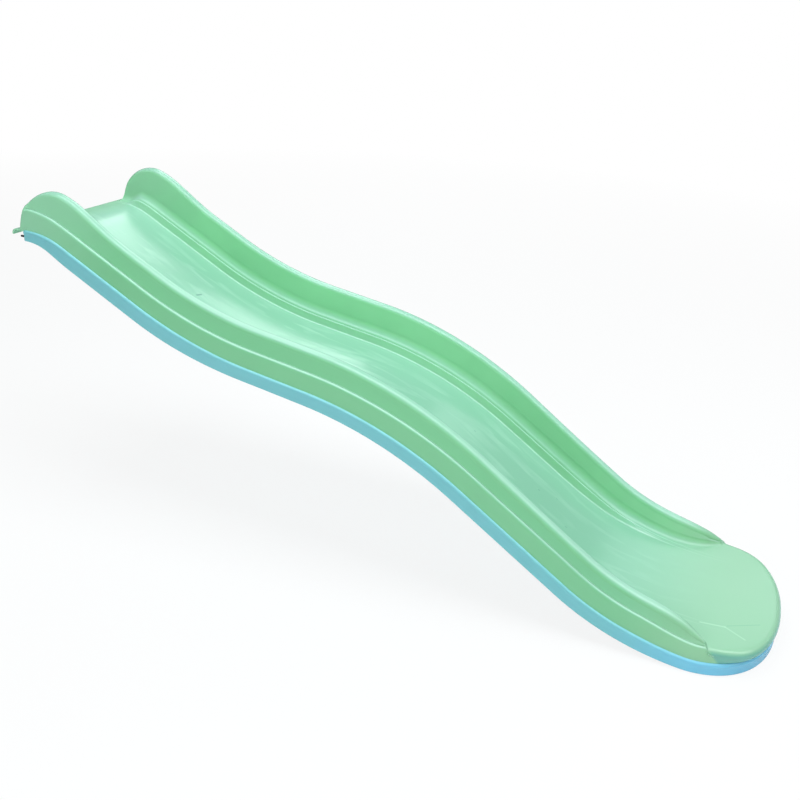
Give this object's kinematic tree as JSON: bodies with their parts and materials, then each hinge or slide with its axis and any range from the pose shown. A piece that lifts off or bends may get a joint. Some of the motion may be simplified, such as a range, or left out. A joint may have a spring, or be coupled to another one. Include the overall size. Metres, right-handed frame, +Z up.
{
  "type": "playground slide",
  "caption": "Wave-shaped plastic slide with raised rounded side walls, a hooked top lip and a flat rounded landing, on a shallow base moulding.",
  "frame": {"origin": "middle of the flat underside of the top lip, where the lip rests on the edge of the play deck", "axes": "+X downhill along the slide, +Y to the left of a child who slides down, +Z up; the lip and the landing are level"},
  "size_m": [2.1181, 0.5, 0.8934],
  "materials": {
    "green_polyethylene": "smooth moulded polyethylene, lightly scuffed",
    "blue_polyethylene": "smooth moulded polyethylene",
    "zinc_plated_steel": "bright zinc plate",
    "dark_steel": "dark oxide"
  },
  "bodies": {
    "root": {"trough_shell": "green_polyethylene", "base_shell": "blue_polyethylene", "joining_screw_left_1": "zinc_plated_steel", "joining_screw_left_2": "zinc_plated_steel", "joining_screw_left_3": "zinc_plated_steel", "joining_screw_left_4": "zinc_plated_steel", "joining_screw_left_5": "zinc_plated_steel", "joining_screw_left_6": "zinc_plated_steel", "joining_screw_left_7": "zinc_plated_steel", "joining_screw_left_8": "zinc_plated_steel", "joining_screw_right_1": "zinc_plated_steel", "joining_screw_right_2": "zinc_plated_steel", "joining_screw_right_3": "zinc_plated_steel", "joining_screw_right_4": "zinc_plated_steel", "joining_screw_right_5": "zinc_plated_steel", "joining_screw_right_6": "zinc_plated_steel", "joining_screw_right_7": "zinc_plated_steel", "joining_screw_right_8": "zinc_plated_steel", "joining_screw_nose": "zinc_plated_steel", "deck_bolt_left": "dark_steel", "deck_bolt_right": "dark_steel"}
  },
  "joints": []
}
